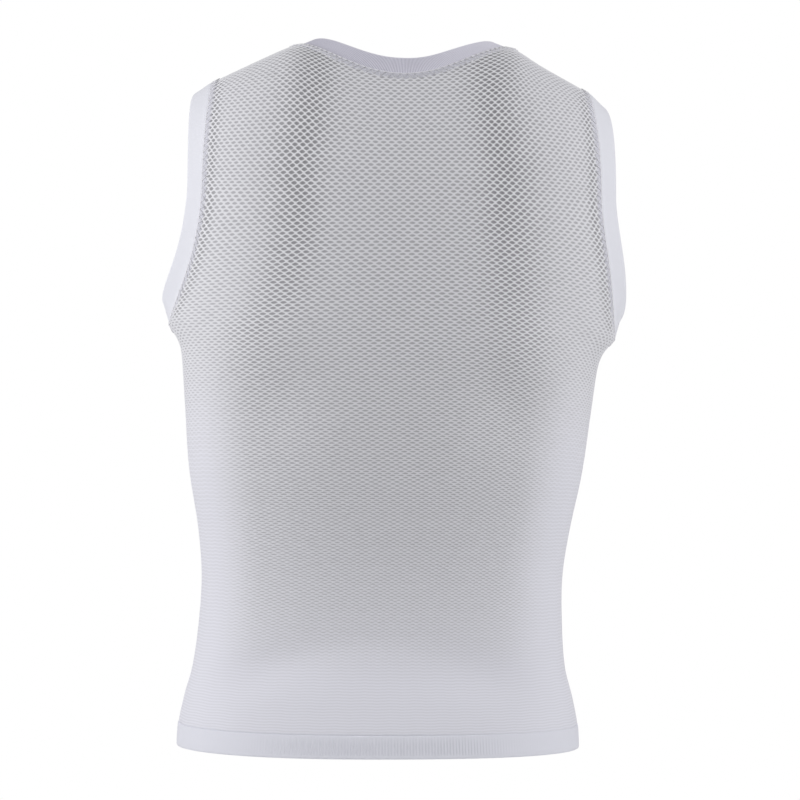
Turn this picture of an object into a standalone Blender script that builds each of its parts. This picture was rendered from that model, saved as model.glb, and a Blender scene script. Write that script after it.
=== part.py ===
"""A sleeveless base layer of knitted mesh, hollow, in the shape it has when it is worn.

The garment is a knitted tube, here as a back and a front that meet at the two sides and at the
shoulders, with a rib band at the neck, a band round each armhole and a ribbed hem. Each piece
is a thin wall. +Z is up, the front faces -Y, +X is the wearer's left, and the origin lies
between the neck ends of the two shoulder seams, where the shoulders carry the garment.

Every piece is read from one surface, the outer face of the cloth. A place on a panel has a
share across it, from -1 at the wearer's right edge to 1 at the left, and a level up it: 0 at
the hem, 1 at the armpits, 2 halfway up the armholes and 3 at the shoulder seams.
"""

import math

import bpy
from mathutils import Vector

MM = 0.001  # all sizes below are in millimetres

CLOTH = 1.2  # wall of the mesh knit
BAND = 2.0  # wall of a folded rib band
BAND_PROUD = 0.4  # how far a band's outer face stands out from the cloth's
SEAM_GAP = 0.3  # between two pieces that are sewn together

HEM_Z = -610.5
HEM_HEIGHT = 19.5
NECK_BAND_WIDTH = 15.5
ARM_BAND_WIDTH = 19.5
BAND_BEND = 5.0  # the width in which a band turns from the cloth's slope to its own
FOLD_ROUND = 0.6  # rounding of a band's folded edge

# The torso's sections from the hem up: height, half width, depth forwards, depth backwards, and
# how far the worn pose moves the section towards the wearer's left.
SECTION_COLUMNS = ("z", "half", "front", "back", "sway")
SECTIONS = [
    (-611.0, 176.5, 106.0, 119.0, 19.5),
    (-590.0, 175.0, 105.0, 116.0, 19.3),
    (-568.0, 170.5, 102.5, 109.0, 19.0),
    (-541.0, 163.5, 99.0, 100.0, 18.6),
    (-502.0, 159.5, 97.0, 93.0, 17.2),
    (-462.0, 158.5, 98.0, 91.0, 15.8),
    (-422.0, 163.0, 101.5, 94.0, 14.2),
    (-370.0, 172.5, 106.5, 101.5, 12.8),
    (-317.0, 178.0, 110.5, 108.0, 10.8),
    (-277.0, 182.0, 112.0, 112.0, 9.2),
    (-248.5, 185.0, 112.0, 114.0, 7.2),
    (-190.0, 187.0, 106.5, 115.5, -0.3),
    (-130.0, 187.0, 93.0, 112.0, -1.5),
    (-70.0, 187.0, 78.0, 100.0, -1.5),
    (10.0, 187.0, 60.0, 80.0, 1.2),
]
SECTION_SQUARE = 2.3  # the power of the sections' superellipse: 2 is an ellipse

# The armhole. Its lower half is a quarter oval from the armpit to the middle level.
ARMPIT_Z = -248.5
MIDDLE_Z = -130.0
ARMHOLE_DEPTH = {"back": 52.0, "front": 46.0}  # of its edge, at the middle level
FLARE = 10.5  # the band draws the cloth out at the armpit
FLARE_BELOW = 11.0  # and this far below it the flare has fallen to a third
FLARE_FADE = 1.5  # how quickly it fades below and above
FLARE_REACH = 0.35  # and it fades over this share of the way in from the edge

# The shoulder seam runs from the neck to the shoulder tip, a little in front of the ridge.
NECK_HALF = 93.0
TIP_HALF = 165.0
NECK_SHARE = 0.5  # the share across a panel where the neckline meets the shoulder seam
RIDGE_HALF = 91.0
SHOULDER_SLOPE = 0.49
SLOPE_START = 8.0  # over this width the ridge turns from level to sloping
RIDGE_Z = 3.5  # height of its level part
SEAM_FORWARD = 12.0
SEAM_PITCH = 0.12  # how steeply the cloth falls forwards where it crosses the seam
ARC = 0.56  # length of a curve's handles, as a share of its rise and run

# The neckline stops each column short of the ridge: the share of the way up at the centre, and
# the power that gives the curve from there to the shoulder seam.
NECKLINE = {"back": {"centre": 0.53, "power": 0.85}, "front": {"centre": 0.17, "power": 0.45}}
NECK_SHIFT = 0.04  # the worn neckline's lowest point lies this share towards the wearer's right

# How far the neck band leans inwards from upright, in degrees, and how its lean turns from the
# centre's to the side's.
NECK_LEAN = {"back": 20.0, "side": 72.0, "front": 20.0}
NECK_ROUND = 1.4

# Which way an armhole band leads away from its seam, as x outwards, y and z.
ARM_LEAN = {
    "tip": (0.74, 0.0, -0.67),
    "back": (0.72, -0.68, 0.05),
    "armpit": (0.27, 0.0, 0.96),
    "front": (0.72, 0.68, 0.05),
}

# The worn pose: the wearer's left side stands higher, by this much at TILT_REACH from the middle.
TILT = 5.3
TILT_REACH = 175.0
TILT_FROM_Z, TILT_FULL_Z = -450.0, -280.0
TILT_AT_HEM = 0.25  # share of the tilt below TILT_FROM_Z
BAND_TILT = 0.15  # how much the tilt turns the ends of the armhole bands

# How finely the pieces are divided.
BODY_ROWS = 16
ROW_CROWD = 0.6  # how much closer the body's rows lie towards the armpits
ARMHOLE_ROWS = 7
SHOULDER_ROWS = 8
NECK_COLUMNS = 10  # from the centre to the neck end of the shoulder seam
SHOULDER_COLUMNS = 8
ROW_SAMPLES = 60

SIDES = {"back": 1.0, "front": -1.0}  # the sign of y on each panel
EDGE_INSET = 0.004  # share of the width at which an edge's slope is read
STEP = 0.01  # how far apart two places are when a slope is read from them

COLOURS = {  # base colour and roughness
    "mesh_knit": ((0.80, 0.80, 0.84), 0.85),
    "rib_knit": ((0.82, 0.82, 0.86), 0.80),
}


def smooth(share):
    """0 to 1 with a level start and end."""
    share = min(1.0, max(0.0, share))
    return share * share * (3.0 - 2.0 * share)


def mix(a, b, share):
    return a + (b - a) * share


def section(z, column):
    """A column of SECTIONS at height z, on a smooth curve through the rows."""
    pick = SECTION_COLUMNS.index(column)
    z = min(SECTIONS[-1][0], max(SECTIONS[0][0], z))
    k = max(i for i in range(len(SECTIONS) - 1) if SECTIONS[i][0] <= z)
    rows = [SECTIONS[min(len(SECTIONS) - 1, max(0, k + i))] for i in (-1, 0, 1, 2)]
    (z0, z1, z2, z3), (a, b, c, d) = zip(*((row[0], row[pick]) for row in rows))
    span = z2 - z1
    rise_b = (c - a) / (z2 - z0) * span
    rise_c = (d - b) / (z3 - z1) * span
    t = (z - z1) / span
    hermite = (2 * t**3 - 3 * t**2 + 1, t**3 - 2 * t**2 + t, 3 * t**2 - 2 * t**3, t**3 - t**2)
    return hermite[0] * b + hermite[1] * rise_b + hermite[2] * c + hermite[3] * rise_c


def posed(x, y, z):
    """The place of a point of the symmetrical cut once the garment is worn."""
    rise = smooth((z - TILT_FROM_Z) / (TILT_FULL_Z - TILT_FROM_Z))
    lift = TILT * mix(TILT_AT_HEM, 1.0, rise) * math.copysign((x / TILT_REACH) ** 2, x)
    return Vector((x + section(z, "sway"), y, z + lift))


def even_row(half, apex, edge, share):
    """(x, depth) at a share of the length from the centre of a row to its edge.

    The row lies on a superellipse of this half width and this depth at its apex, and it is cut
    off where the depth has fallen to the edge's.
    """
    last = math.acos((edge / apex) ** (SECTION_SQUARE / 2))
    angles = [last * i / ROW_SAMPLES for i in range(ROW_SAMPLES + 1)]
    power = 2 / SECTION_SQUARE
    curve = [(half * math.sin(a) ** power, apex * abs(math.cos(a)) ** power) for a in angles]
    lengths = [0.0]
    for (x0, y0), (x1, y1) in zip(curve, curve[1:]):
        lengths.append(lengths[-1] + math.hypot(x1 - x0, y1 - y0))
    goal = share * lengths[-1]
    k = max(i for i in range(ROW_SAMPLES) if lengths[i] <= goal)
    part = (goal - lengths[k]) / (lengths[k + 1] - lengths[k])
    return mix(curve[k][0], curve[k + 1][0], part), mix(curve[k][1], curve[k + 1][1], part)


def row_point(panel, share, level):
    """A point of the symmetrical cut on a level row, from the hem to the middle level."""
    if level <= 1.0:
        z = mix(HEM_Z, ARMPIT_Z, level)
        edge = 0.0
        flare = FLARE * math.exp(-(((ARMPIT_Z - z) / FLARE_BELOW) ** FLARE_FADE))
    else:
        turn = (level - 1.0) * math.pi / 2
        z = mix(MIDDLE_Z, ARMPIT_Z, math.cos(turn))
        edge = ARMHOLE_DEPTH[panel] * math.sin(turn)
        flare = FLARE * max(0.0, math.cos(turn)) ** FLARE_FADE
    x, depth = even_row(section(z, "half"), section(z, panel), edge, abs(share))
    x += flare * smooth((abs(share) - 1.0 + FLARE_REACH) / FLARE_REACH)
    return Vector((math.copysign(x, share), SIDES[panel] * depth, z))


def ridge_z(x):
    """Height of the shoulder seam at x, level over the neck and sloping beyond it."""
    beyond = abs(x) - RIDGE_HALF
    return RIDGE_Z - SHOULDER_SLOPE * (beyond + math.hypot(beyond, SLOPE_START)) / 2


def shoulder_point(panel, share, climb):
    """A point between the middle level and the shoulder seam, on a column's curve."""
    start = row_point(panel, share, 2.0)
    below = row_point(panel, share, 2.0 - STEP)
    slope = (start - below) / (start.z - below.z)
    spread = (NECK_HALF / TIP_HALF / NECK_SHARE - 1.0) / (1.0 - NECK_SHARE)
    x = TIP_HALF * share * (1.0 + spread * (1.0 - abs(share)))
    end = Vector((x, -SEAM_FORWARD, ridge_z(x)))
    run = abs(start.y - end.y)
    back = SIDES[panel]
    leave = start + Vector((0.0, slope.y, 1.0)) * ARC * (end.z - start.z)
    arrive = end + Vector((0.0, back, back * SEAM_PITCH)) * ARC * run
    rest = 1.0 - climb
    return (
        start * rest**3
        + leave * 3 * rest**2 * climb
        + arrive * 3 * rest * climb**2
        + end * climb**3
    )


def cloth_point(panel, share, level):
    """A point of the cloth's outer face, in the worn pose."""
    if level <= 2.0:
        point = row_point(panel, share, level)
    else:
        point = shoulder_point(panel, share, level - 2.0)
    return posed(*point)


def cloth_normal(panel, share, level):
    """The way that the cloth's outer face looks."""
    inside = min(1.0 - EDGE_INSET, max(EDGE_INSET - 1.0, share))
    low, high = level - STEP, level
    if level < STEP or 1.0 < level < 1.0 + STEP or 2.0 < level < 2.0 + STEP:
        low, high = level, level + STEP
    across = cloth_point(panel, inside + EDGE_INSET, level)
    across -= cloth_point(panel, inside - EDGE_INSET, level)
    up = cloth_point(panel, inside, high) - cloth_point(panel, inside, low)
    return (up.cross(across) * SIDES[panel]).normalized()


def neckline_climb(panel, across):
    """How far up its column the neckline lies, at a share of the way from centre to seam."""
    cut = NECKLINE[panel]
    across += NECK_SHIFT * (1.0 - across * across)
    return 1.0 - (1.0 - cut["centre"]) * max(0.0, 1.0 - across * across) ** cut["power"]


def material(name):
    made = bpy.data.materials.get(name) or bpy.data.materials.new(name)
    made.use_nodes = True
    colour, roughness = COLOURS[name]
    shader = made.node_tree.nodes["Principled BSDF"]
    shader.inputs["Base Color"].default_value = (*colour, 1.0)
    shader.inputs["Roughness"].default_value = roughness
    shader.inputs["Metallic"].default_value = 0.0
    return made


def add_piece(name, points, faces, finish):
    """One closed piece from points in millimetres."""
    mesh = bpy.data.meshes.new(name)
    mesh.from_pydata([point * MM for point in points], [], faces)
    mesh.validate()
    mesh.materials.append(material(finish))
    mesh.shade_smooth()
    mesh.set_sharp_from_angle(angle=math.radians(40))
    piece = bpy.data.objects.new(name, mesh)
    bpy.context.scene.collection.objects.link(piece)
    return piece


def panel_shares(top):
    """The columns' shares across a row. Near the neckline they crowd towards its ends."""
    half = []
    for i in range(NECK_COLUMNS + 1):
        along = i / NECK_COLUMNS
        half.append(NECK_SHARE * mix(along, math.sin(along * math.pi / 2), top))
    for i in range(1, SHOULDER_COLUMNS + 1):
        half.append(mix(NECK_SHARE, 1.0, i / SHOULDER_COLUMNS))
    return [-share for share in half[:0:-1]] + half


def panel_levels():
    """The rows' levels, from the top of the hem to the shoulder seam."""
    first = HEM_HEIGHT / (ARMPIT_Z - HEM_Z)
    parts = [i / BODY_ROWS for i in range(BODY_ROWS + 1)]
    rows = [mix(first, 1.0, part + ROW_CROWD * part * (1.0 - part)) for part in parts]
    rows += [1.0 + i / ARMHOLE_ROWS for i in range(1, ARMHOLE_ROWS + 1)]
    return rows + [2.0 + i / SHOULDER_ROWS for i in range(1, SHOULDER_ROWS + 1)]


def panel_places(panel):
    """Rows of (share, level) that end on the sides, the armholes, the shoulders and the neck."""
    places = []
    for level in panel_levels():
        climb = max(0.0, level - 2.0)
        row = []
        for share in panel_shares(climb):
            under_neck = abs(share) < NECK_SHARE
            stop = neckline_climb(panel, share / NECK_SHARE) if under_neck else 1.0
            row.append((share, 2.0 + climb * stop if climb else level))
        places.append(row)
    return places


def rim_of(rows, columns):
    """The grid's outermost places in order, clockwise as seen from outside the garment."""
    rim = [(0, c) for c in range(columns)]
    rim += [(r, columns - 1) for r in range(1, rows)]
    rim += [(rows - 1, c) for c in range(columns - 2, -1, -1)]
    rim += [(r, 0) for r in range(rows - 2, 0, -1)]
    return rim


def wall_faces(rows, columns):
    """Faces of a wall whose outer grid of points is followed by its inner grid."""
    inner = rows * columns
    faces = []
    for r in range(rows - 1):
        for c in range(columns - 1):
            a = r * columns + c
            quad = (a, a + 1, a + columns + 1, a + columns)
            faces.append(quad[::-1])
            faces.append(tuple(inner + i for i in quad))
    ring = [r * columns + c for r, c in rim_of(rows, columns)]
    for a, b in zip(ring, ring[1:] + ring[:1]):
        faces.append((a, b, inner + b, inner + a))
    return faces


def build_panel(panel):
    places = panel_places(panel)
    if panel == "front":
        places = [row[::-1] for row in places]
    face = [[cloth_point(panel, *place) for place in row] for row in places]
    normals = [[cloth_normal(panel, *place) for place in row] for row in places]
    rim = rim_of(len(places), len(places[0]))
    drawn = {}
    for before, here, after in zip(rim[-1:] + rim[:-1], rim, rim[1:] + rim[:1]):
        along = face[after[0]][after[1]] - face[before[0]][before[1]]
        normal = normals[here[0]][here[1]]
        drawn[here] = along.cross(normal).normalized() * SEAM_GAP / 2
    for (r, c), pull in drawn.items():
        face[r][c] = face[r][c] + pull
    outer = [point for row in face for point in row]
    lining = [p - n * CLOTH for p, n in zip(outer, (n for row in normals for n in row))]
    return add_piece(panel, outer + lining, wall_faces(len(face), len(face[0])), "mesh_knit")


def band_section(width):
    """(distance from the seam, height over the cloth's face) round a band's section."""
    top, bottom = BAND_PROUD, BAND_PROUD - BAND
    start = SEAM_GAP / 2
    return [
        (start, top),
        (BAND_BEND, top),
        (width * 0.6, top),
        (width - FOLD_ROUND, top),
        (width, top - FOLD_ROUND),
        (width, bottom + FOLD_ROUND),
        (width - FOLD_ROUND, bottom),
        (width * 0.6, bottom),
        (BAND_BEND, bottom),
        (start, bottom),
    ]


def banded(name, seam, width):
    """A closed band along a seam: (point, the cloth's normal, the way the band leads)."""
    first, normal, lead = seam[0]
    if (seam[1][0] - first).cross(normal).dot(lead) < 0:
        seam = seam[::-1]
    count = len(seam)
    profile = band_section(width)
    points = []
    for i, (place, normal, lead) in enumerate(seam):
        along = (seam[(i + 1) % count][0] - seam[i - 1][0]).normalized()
        off = along.cross(normal).normalized()
        normal = (normal - along * normal.dot(along)).normalized()
        lead = (lead - along * lead.dot(along)).normalized()
        bend = math.atan2(lead.dot(normal), lead.dot(off))
        for distance, height in profile:
            turned = bend * min(1.0, distance / BAND_BEND)
            bow = bend * min(distance, BAND_BEND) / BAND_BEND / 2
            near = min(distance, BAND_BEND)
            far = distance - near
            base = place + near * (off * math.cos(bow) + normal * math.sin(bow))
            base += far * (off * math.cos(bend) + normal * math.sin(bend))
            points.append(base + height * (normal * math.cos(turned) - off * math.sin(turned)))
    sides = len(profile)
    faces = []
    for i in range(count):
        for j in range(sides):
            a, b = i * sides + j, i * sides + (j + 1) % sides
            c, d = (a + sides) % (count * sides), (b + sides) % (count * sides)
            faces.append((a, b, d, c))
    return add_piece(name, points, faces, "rib_knit")


def build_neck_band():
    places = []
    for i in range(4 * NECK_COLUMNS):
        angle = math.pi / 2 * i / NECK_COLUMNS
        panel = "back" if math.cos(angle) >= 0 else "front"
        across = math.sin(angle)
        places.append((panel, NECK_SHARE * across, 2.0 + neckline_climb(panel, across), across))
    seam = []
    points = [cloth_point(*place[:3]) for place in places]
    up = Vector((0.0, 0.0, 1.0))
    for before, place, point, after in zip(
        points[-1:] + points[:-1], places, points, points[1:] + points[:1]
    ):
        panel, across = place[0], place[3]
        lean = math.radians(mix(NECK_LEAN[panel], NECK_LEAN["side"], abs(across) ** NECK_ROUND))
        inwards = (after - before).cross(up).normalized()
        lead = inwards * math.sin(lean) + up * math.cos(lean)
        seam.append((point, cloth_normal(*place[:3]), lead))
    return banded("neck_band", seam, NECK_BAND_WIDTH)


def arm_lead(panel, climb, side):
    """The way an armhole band leads, at a share of the way up from the armpit to the tip."""
    middle = math.sin(math.pi * climb) ** 2
    end = "armpit" if climb < 0.5 else "tip"
    x, y, z = (mix(a, b, middle) for a, b in zip(ARM_LEAN[end], ARM_LEAN[panel]))
    return Vector((side * x, y, z)).normalized() + Vector((0.0, 0.0, BAND_TILT * side * climb))


def build_arm_band(name, side):
    """side is 1 for the wearer's left and -1 for the right."""
    steps = ARMHOLE_ROWS + SHOULDER_ROWS
    levels = [1.0 + i / ARMHOLE_ROWS for i in range(ARMHOLE_ROWS)]
    levels += [2.0 + i / SHOULDER_ROWS for i in range(SHOULDER_ROWS + 1)]
    loop = [("back", level, i / steps) for i, level in enumerate(levels)]
    loop += [("front", level, i / steps) for i, level in reversed([*enumerate(levels)][1:-1])]
    seam = []
    for panel, level, climb in loop:
        lead = arm_lead(panel, climb, side)
        seam.append((cloth_point(panel, side, level), cloth_normal(panel, side, level), lead))
    return banded(name, seam, ARM_BAND_WIDTH)


def build_hem_band():
    """The turned hem, a ring that hangs on from the two panels."""
    top = HEM_HEIGHT / (ARMPIT_Z - HEM_Z)
    gap = SEAM_GAP / 2 / (ARMPIT_Z - HEM_Z)
    rounding = FOLD_ROUND / (ARMPIT_Z - HEM_Z)
    outer, inner = BAND_PROUD, BAND_PROUD - BAND
    profile = [
        (top - gap, outer),
        (top / 2, outer),
        (rounding, outer),
        (0.0, outer - FOLD_ROUND),
        (0.0, inner + FOLD_ROUND),
        (rounding, inner),
        (top / 2, inner),
        (top - gap, inner),
    ]
    around = [("back", share) for share in panel_shares(0.0)[:0:-1]]
    around += [("front", share) for share in panel_shares(0.0)[:-1]]
    points = []
    for panel, share in around:
        for level, height in profile:
            normal = cloth_normal(panel, share, level)
            points.append(cloth_point(panel, share, level) + normal * height)
    sides = len(profile)
    faces = []
    for i in range(len(around)):
        for j in range(sides):
            a, b = i * sides + j, i * sides + (j + 1) % sides
            c, d = (a + sides) % len(points), (b + sides) % len(points)
            faces.append((a, b, d, c))
    return add_piece("hem_band", points, faces, "rib_knit")


def main():
    for thing in list(bpy.data.objects):
        bpy.data.objects.remove(thing)
    build_panel("back")
    build_panel("front")
    build_neck_band()
    build_arm_band("armhole_band_left", 1)
    build_arm_band("armhole_band_right", -1)
    build_hem_band()


main()
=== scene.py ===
"""A sleeveless base layer of mesh knit, in its filled-out form, in a plain studio.

The form is the frame's own. A place on a panel has a share across it, from -1 at the garment's
right edge to 1 at its left, and a level up it: 0 at the hem's lower edge, 1 at the armpits, 2
about halfway up the armholes and 3 at the shoulder seams. On that form lie the mesh knit, with a
diamond of raised strands round each sunk eyelet, the plainer knit above the hem, the folded bands
and the zigzag stitches of the seams. Sizes are in millimetres, +Z is up and the back faces +Y.
The camera, the lamps and the floor are in metres.
"""

import math

import bpy
import numpy as np
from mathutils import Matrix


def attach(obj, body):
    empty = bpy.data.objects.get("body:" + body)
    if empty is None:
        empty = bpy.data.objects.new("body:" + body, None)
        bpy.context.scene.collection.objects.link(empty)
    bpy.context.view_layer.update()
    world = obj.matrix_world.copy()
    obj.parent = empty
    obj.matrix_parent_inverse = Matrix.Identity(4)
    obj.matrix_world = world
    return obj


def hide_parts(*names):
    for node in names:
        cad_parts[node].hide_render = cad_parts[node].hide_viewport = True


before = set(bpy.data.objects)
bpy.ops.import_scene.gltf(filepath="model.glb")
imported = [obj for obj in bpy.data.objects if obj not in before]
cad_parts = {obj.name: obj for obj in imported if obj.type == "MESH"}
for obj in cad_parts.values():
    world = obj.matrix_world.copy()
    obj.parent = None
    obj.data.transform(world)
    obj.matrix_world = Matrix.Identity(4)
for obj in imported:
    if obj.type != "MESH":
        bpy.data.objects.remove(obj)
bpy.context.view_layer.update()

MM = 0.001

# ---- the garment's form, as in the frame ----

HEM_Z = -610.5
HEM_HEIGHT = 19.5
NECK_BAND_WIDTH = 15.5
ARM_BAND_WIDTH = 19.5
BAND = 2.0  # a folded band's thickness
BAND_PROUD = 0.4  # how far it stands over the cloth's face
BAND_BEND = 5.0  # the width over which it bends away from the cloth

SECTION_COLUMNS = ("z", "half", "front", "back", "sway")
SECTIONS = np.array([
    (-611.0, 176.5, 106.0, 119.0, 19.5),
    (-590.0, 175.0, 105.0, 116.0, 19.3),
    (-568.0, 170.5, 102.5, 109.0, 19.0),
    (-541.0, 163.5, 99.0, 100.0, 18.6),
    (-502.0, 159.5, 97.0, 93.0, 17.2),
    (-462.0, 158.5, 98.0, 91.0, 15.8),
    (-422.0, 163.0, 101.5, 94.0, 14.2),
    (-370.0, 172.5, 106.5, 101.5, 12.8),
    (-317.0, 178.0, 110.5, 108.0, 10.8),
    (-277.0, 182.0, 112.0, 112.0, 9.2),
    (-248.5, 185.0, 112.0, 114.0, 7.2),
    (-190.0, 187.0, 106.5, 115.5, -0.3),
    (-130.0, 187.0, 93.0, 112.0, -1.5),
    (-70.0, 187.0, 78.0, 100.0, -1.5),
    (10.0, 187.0, 60.0, 80.0, 1.2),
])
SECTION_SQUARE = 2.3

ARMPIT_Z = -248.5
MIDDLE_Z = -130.0
HEM_TOP_LEVEL = HEM_HEIGHT / (ARMPIT_Z - HEM_Z)
ARMHOLE_DEPTH = {"back": 52.0, "front": 46.0}
FLARE = 10.5
FLARE_BELOW = 11.0
FLARE_FADE = 1.5
FLARE_REACH = 0.35
FLARE_CLIMB = 0.15  # the share of an armhole's height over which its seam stands out with it

NECK_HALF = 93.0
TIP_HALF = 165.0
NECK_SHARE = 0.5
RIDGE_HALF = 91.0
SHOULDER_SLOPE = 0.49
SLOPE_START = 8.0
RIDGE_Z = 3.5
SEAM_FORWARD = 12.0
SEAM_PITCH = 0.12
ARC = 0.56

NECKLINE = {"back": {"centre": 0.53, "power": 0.85}, "front": {"centre": 0.17, "power": 0.45}}
NECK_SHIFT = 0.04
NECK_LEAN = {"back": 20.0, "side": 72.0, "front": 20.0}
NECK_ROUND = 1.4
ARM_LEAN = {
    "tip": (0.74, 0.0, -0.67),
    "back": (0.72, -0.68, 0.05),
    "armpit": (0.27, 0.0, 0.96),
    "front": (0.72, 0.68, 0.05),
}
ARMHOLE_SPLIT = 7 / 15  # share of an armhole band's way up that lies below the middle level

TILT = 5.3
TILT_REACH = 175.0
TILT_FROM_Z, TILT_FULL_Z = -450.0, -280.0
TILT_AT_HEM = 0.25
BAND_TILT = 0.15
CORNER_OUT = 8.0  # how far the neck's corner at the garment's right is drawn outwards
CORNER_AT, CORNER_REACH, CORNER_LOW = -88.0, 26.0, 70.0

SIDES = {"back": 1.0, "front": -1.0}
EDGE_INSET = 0.004
STEP = 0.01
ROW_SAMPLES, ROW_LEVELS = 240, 160

# ---- the knit ----

WALES = 60  # half the eyelet columns on each panel
COURSE_SAMPLES = 1500
# By height: the rise from course to course, how much wider than even the middle wales are, or
# narrower below 0, an eyelet's share of its diamond across and up, and how fully the strands
# stand out.
NET_COLUMNS = ("z", "course", "spread", "eye_wide", "eye_high", "relief")
NET = np.array([
    (-611.0, 1.20, -0.09, 0.55, 0.25, 0.00),
    (-580.0, 1.22, -0.09, 0.55, 0.25, 0.04),
    (-540.0, 1.32, -0.09, 0.55, 0.25, 0.06),
    (-512.0, 1.42, -0.09, 0.55, 0.28, 0.42),
    (-484.0, 1.48, -0.09, 0.56, 0.30, 0.64),
    (-431.0, 1.58, -0.08, 0.58, 0.33, 0.80),
    (-361.0, 1.87, -0.04, 0.60, 0.38, 0.95),
    (-290.0, 2.10, -0.01, 0.62, 0.42, 1.00),
    (-220.0, 2.48, -0.01, 0.64, 0.46, 1.00),
    (-150.0, 2.72, -0.01, 0.66, 0.50, 1.00),
    (-97.0, 2.90, -0.01, 0.66, 0.52, 1.00),
    (-53.0, 3.05, -0.02, 0.66, 0.52, 1.00),
    (20.0, 3.10, -0.02, 0.66, 0.52, 1.00),
])
UNEVEN = 0.05  # how far a place in the net strays, in wales and courses
TOP_WIDTH = 1.06  # the net's width at the shoulders, over the cloth's at the middle level
TOP_WIDTH_Z = -58.0
SIDE_RISE = 1.2  # how steeply the courses climb to the armholes, above SIDE_RISE_FROM_Z
SIDE_RISE_FROM_Z = -200.0
SIDE_FALL = 4.0  # how many courses lower they lie at the sides, above SIDE_FALL_FULL_Z
SIDE_FALL_FROM_Z, SIDE_FALL_FULL_Z = -470.0, -330.0
DRIFT_LOW, DRIFT_HIGH = -0.12, -0.04  # the wales' shift, below 0 towards the garment's right
DRIFT_LOW_Z, DRIFT_HIGH_Z = -430.0, -180.0
BARELY = 1e-6  # how far under the neckline a diamond's lowest corner has to lie
SLIVER = 1e-3  # a face smaller than this, in wales times courses, is left out
SHEER = 0.19  # the eyelets are this much larger where the knit stretches most
SHEER_AT, SHEER_AT_TOP = 0.46, 0.37
SHEER_BEND_Z, SHEER_TOP_Z = -110.0, -20.0
SHEER_INSIDE, SHEER_OUTSIDE = 0.11, 0.15
CLOSED = 0.55  # how much smaller the eyelets are at the sides, in the same measure
CLOSED_FROM, CLOSED_OVER = 0.5, 0.22
CLOSED_TOP, CLOSED_TOP_Z, CLOSED_FULL_Z = 0.22, -150.0, -260.0  # this share of it higher up
PULLED = 0.95  # how much larger they are beside an armhole's seam
PULLED_AT, PULLED_REACH, PULLED_FROM_Z = 0.935, 0.035, -235.0
SHEER_FROM_Z, SHEER_FULL_Z = -400.0, -90.0
FOLDS = np.array([  # share and z of the middle, its fall to the sides, reach across and up, depth
    (0.45, -262.0, 0.0, 0.17, 32.0, 4.2),
    (0.44, -318.0, 0.0, 0.19, 34.0, -3.6),
    (-0.47, -262.0, 0.0, 0.15, 30.0, 5.2),
    (-0.47, -316.0, 0.0, 0.16, 33.0, -4.6),
    (0.43, -521.0, 18.0, 0.28, 22.0, -4.8),
    (-0.40, -529.0, 18.0, 0.28, 27.0, -6.4),
    (0.02, -513.0, 16.0, 0.32, 14.0, -1.2),
])
SIDE_FADE = 0.85  # the share of the relief that goes at the sides, low on the panels
SIDE_FADE_FROM, SIDE_FADE_OVER = 0.5, 0.26
SIDE_FADE_FROM_Z, SIDE_FADE_FULL_Z = -245.0, -375.0
STRAND_TOP = 0.14  # over the cloth's face
EYE_DEEP = -0.55
HEM_GROOVE = 0.6  # how far the knit dips where the hem begins
HEM_GROOVE_COURSES = 0.7

# The lens of painted shade over each eyelet's sunk floor, and how it grows where the knit is sheer.
EYE_SHADE_WIDE, EYE_SHADE_HIGH, EYE_SHADE_SHEER = 0.78, 0.46, 0.17
EYE_SHADE_FULL, EYE_SHADE_NONE = 0.45, 1.25
EYE_SHADE_OFFSET = 1000.0  # whole diamonds, so that no place in the net is below 0
# How much painted shade lies in the fine level lines where the net fades out, and how they wave.
PLAIN_LINE_SHADE = 0.24
PLAIN_LINES_WAVE = 0.2

BAND_EDGE, BAND_EDGE_LOW, BAND_FULL_FROM = 0.15, 0.35, 0.7  # where a band begins at its seam
BAND_ROWS, BAND_INSIDE_ROWS = (0.15, 0.3, 0.5, 0.7, 0.88), (0.7, 0.4, 0.15)  # shares of its width
FOLD_RIBS = (0.8, 0.5, 0.2, 0.0, 0.0)  # how fully the ribs stand on the way round the fold
ARM_BAND_STEP = 1.8  # from point to point round a band without ribs
LINE_SAMPLES = 900
RIB_STEPS = 4
NECK_RIB, NECK_RIB_DEEP = 1.45, 0.38
NECK_RIB_AT_SIDES, NECK_RIB_FADE_FROM, NECK_RIB_FADE_OVER = 0.8, 0.12, 0.3
HEM_RIB, HEM_RIB_DEEP = 2.6, 0.36
HEM_RIB_AT_SIDES, HEM_RIB_FADE_FROM, HEM_RIB_FADE_OVER = 0.06, 0.28, 0.27
HEM_WAVE, HEM_WAVES = 0.25, 1.5  # a finer wave over the ribs, and how many there are to a rib

STITCH_PITCH = 6.2
THREAD = 0.6  # radius
THREAD_SIDES = 3
THREAD_NEAR, THREAD_FAR = (-0.7, 0.35), (-6.72, 0.3)  # distance from the seam, height
TAPE = (  # the covered seam beside a band: distance from the seam, height
    (0.1, 0.0),
    (-0.2, 0.25),
    (-3.2, 0.18),
    (-4.8, -0.05),
    (-5.76, -0.35),
    (-6.4, -1.2),
)


def smooth(share):
    share = np.clip(share, 0.0, 1.0)
    return share * share * (3.0 - 2.0 * share)


def mix(a, b, share):
    return a + (b - a) * share


def unit(vectors):
    return vectors / np.linalg.norm(vectors, axis=-1, keepdims=True)


def square_to(vectors, along):
    """The vectors without their part along another way."""
    return vectors - along * (vectors * along).sum(1, keepdims=True)


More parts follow.
